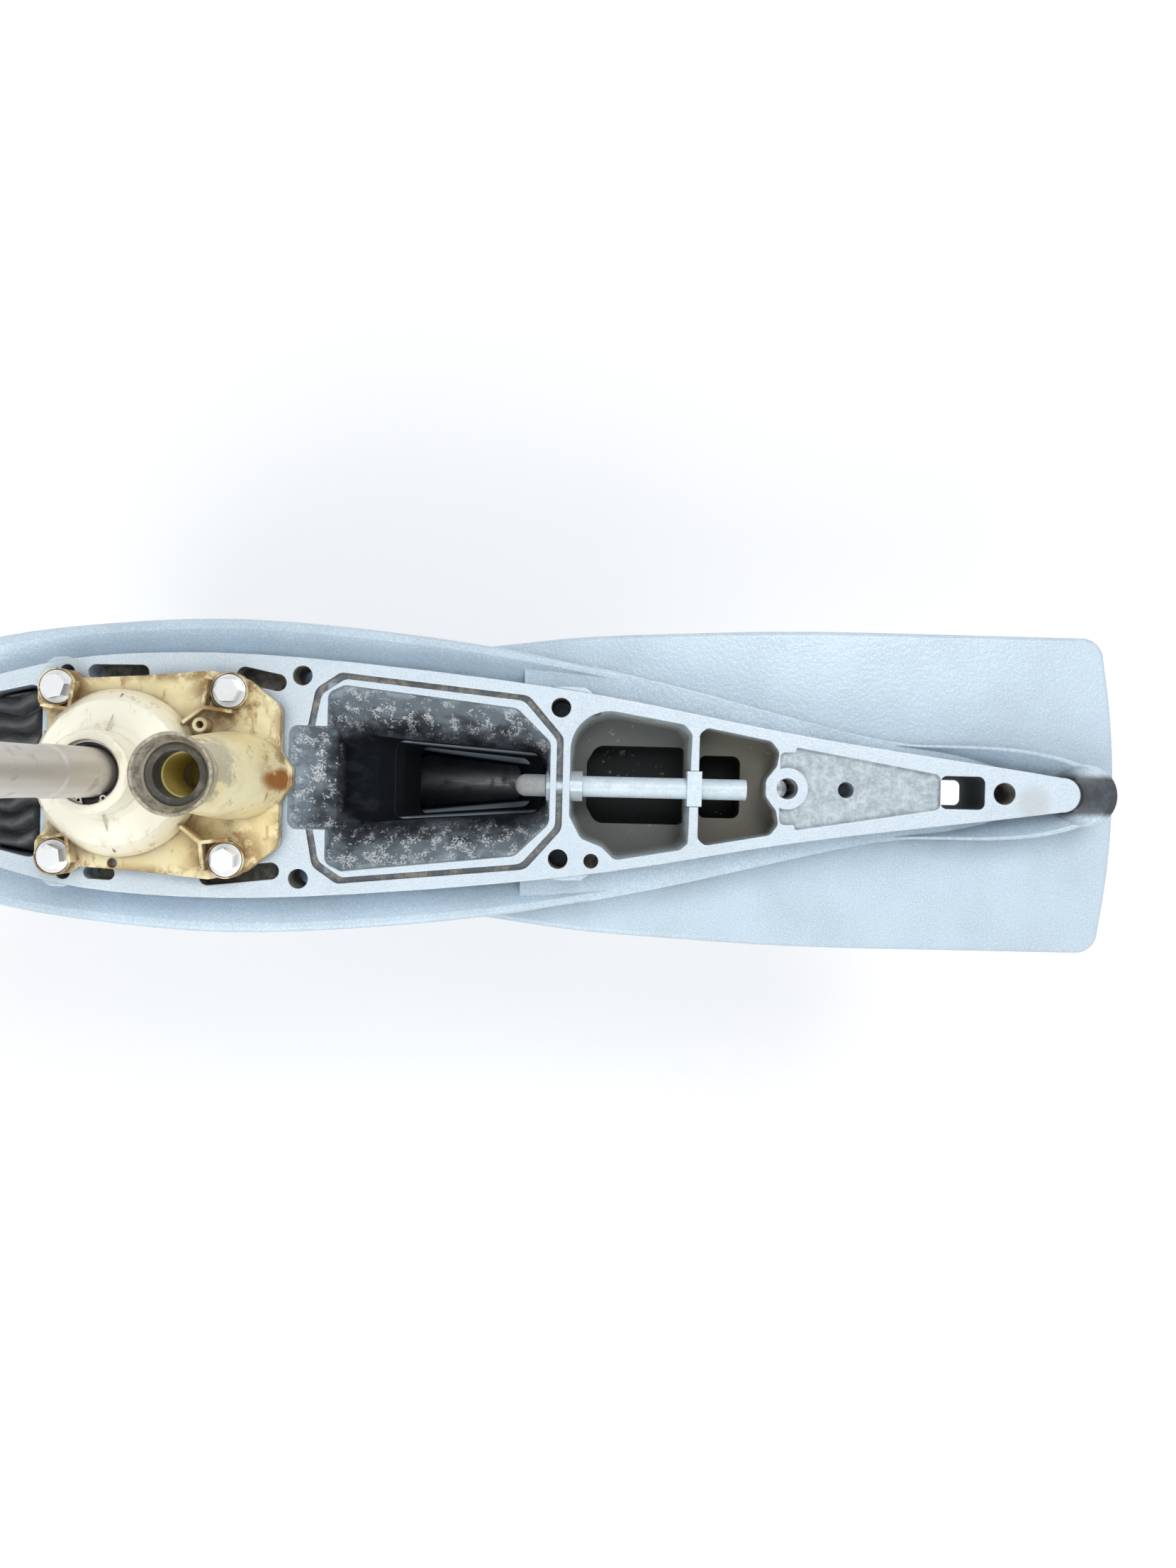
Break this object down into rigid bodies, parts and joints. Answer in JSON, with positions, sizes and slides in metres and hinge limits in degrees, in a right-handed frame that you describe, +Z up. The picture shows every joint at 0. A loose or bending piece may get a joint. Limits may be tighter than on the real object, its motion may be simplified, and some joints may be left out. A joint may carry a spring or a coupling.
{
  "type": "outboard lower unit",
  "caption": "Gearcase of an outboard motor with water pump, driveshaft, bevel gears, shifting clutch and propeller shaft, without the propeller.",
  "frame": {"origin": "where the driveshaft's axis meets the deck, the face that bolts up to the exhaust housing", "axes": "+X aft along the propeller shaft, +Y to starboard, +Z up along the driveshaft"},
  "size_m": [0.8405, 0.2064, 1.13],
  "materials": {
    "painted_casting": "painted",
    "cream_plastic": "matte",
    "black_rubber": "matte",
    "black_plastic": "matte",
    "white_plastic": "matte",
    "gasket_fibre": "matte",
    "stainless": "satin",
    "bearing_steel": "polished",
    "gear_steel": "satin",
    "shaft_steel": "stained",
    "bronze": "satin",
    "bare_aluminium": "cast",
    "zinc_anode": "cast",
    "grey_tube": "satin"
  },
  "bodies": {
    "gearcase": {"gearcase_housing": "painted_casting", "front_rubber_seal": "black_rubber", "shift_rod_bushing": "black_plastic", "water_pump_housing": "cream_plastic", "pump_insert_cup": "stainless", "pump_wear_plate": "stainless", "pump_base_gasket": "gasket_fibre", "pump_bolts": "stainless", "pump_washers": "stainless", "pump_collar_seal": "black_rubber", "collar_circlip": "stainless", "water_tube_seal": "black_rubber", "oil_seal_carrier": "black_plastic", "driveshaft_lower_seal": "black_rubber", "driveshaft_upper_seal": "black_rubber", "seal_carrier_o_ring": "black_rubber", "driveshaft_bearing_cup": "bearing_steel", "driveshaft_bearing_retainer": "gear_steel", "driveshaft_needle_bearing": "bearing_steel", "forward_gear_bearing_cup": "bearing_steel", "reverse_gear_bearing": "bearing_steel", "bearing_carrier": "bare_aluminium", "carrier_o_rings": "black_rubber", "carrier_needle_bearing": "bearing_steel", "propshaft_inner_seal": "black_rubber", "propshaft_outer_seal": "black_rubber", "carrier_lock_washer": "stainless", "carrier_ring_nut": "bare_aluminium", "trim_tab_bolt": "stainless", "oil_plug_gaskets": "gasket_fibre", "water_inlet_screens": "black_plastic", "inlet_screen_screws": "stainless", "crossing_tube": "grey_tube", "crossing_tube_elbow": "white_plastic", "crossing_tube_clip": "grey_tube"},
    "driveshaft": {"driveshaft": "shaft_steel", "driveshaft_bearing_cone": "bearing_steel", "pinion_gear": "gear_steel", "pinion_nut": "gear_steel", "impeller": "black_rubber", "impeller_key": "gear_steel"},
    "forward_gear": {"forward_gear": "gear_steel", "forward_gear_bearing_cone": "bearing_steel", "forward_gear_needle_sleeve": "bronze"},
    "reverse_gear": {"reverse_gear": "gear_steel"},
    "propeller_shaft": {"propeller_shaft": "stainless"},
    "clutch": {"clutch_dog": "gear_steel", "clutch_cross_pin": "gear_steel", "clutch_spring_ring": "gear_steel", "shift_plunger": "gear_steel"},
    "shift_rod": {"shift_rod": "stainless"},
    "shift_slider": {"shift_slider": "gear_steel"},
    "trim_tab": {"trim_tab_anode": "zinc_anode"},
    "drain_plug": {"oil_drain_plug": "stainless"},
    "level_plug": {"oil_level_plug": "stainless"}
  },
  "joints": [
    {"name": "driveshaft_spin", "type": "hinge", "parent": "gearcase", "child": "driveshaft", "pos_m": [0, 0, 0], "axis": [0, 0, 1], "continuous": true},
    {"name": "forward_gear_spin", "type": "hinge", "parent": "gearcase", "child": "forward_gear", "pos_m": [0, 0, -0.262], "axis": [1, 0, 0], "continuous": true},
    {"name": "reverse_gear_spin", "type": "hinge", "parent": "gearcase", "child": "reverse_gear", "pos_m": [0, 0, -0.262], "axis": [1, 0, 0], "continuous": true},
    {"name": "propeller_shaft_spin", "type": "hinge", "parent": "gearcase", "child": "propeller_shaft", "pos_m": [0, 0, -0.262], "axis": [1, 0, 0], "continuous": true},
    {"name": "clutch_dog_slide", "type": "slide", "parent": "propeller_shaft", "child": "clutch", "axis": [1, 0, 0], "range_m": [-0.007, 0.007]},
    {"name": "shift_slider_slide", "type": "slide", "parent": "gearcase", "child": "shift_slider", "axis": [1, 0, 0], "range_m": [-0.007, 0.007]},
    {"name": "shift_rod_turn", "type": "hinge", "parent": "gearcase", "child": "shift_rod", "pos_m": [-0.108, 0, 0], "axis": [0, 0, 1], "range_deg": [-45, 45]},
    {"name": "trim_tab_swivel", "type": "hinge", "parent": "gearcase", "child": "trim_tab", "pos_m": [0.4372, 0, -0.066], "axis": [0, 0, 1], "range_deg": [-25, 25]},
    {"name": "drain_plug_out", "type": "slide", "parent": "gearcase", "child": "drain_plug", "axis": [0, 1, 0], "range_m": [0, 0.016]},
    {"name": "level_plug_out", "type": "slide", "parent": "gearcase", "child": "level_plug", "axis": [0, 1, 0], "range_m": [0, 0.016]}
  ],
  "couplings": [
    {"joint": "forward_gear_spin", "follows": "driveshaft_spin", "ratio": 0.57692},
    {"joint": "reverse_gear_spin", "follows": "driveshaft_spin", "ratio": -0.57692},
    {"joint": "shift_rod_turn", "follows": "shift_slider_slide", "rad_per_m": 112.2},
    {"joint": "clutch_dog_slide", "follows": "shift_slider_slide", "ratio": 1}
  ]
}
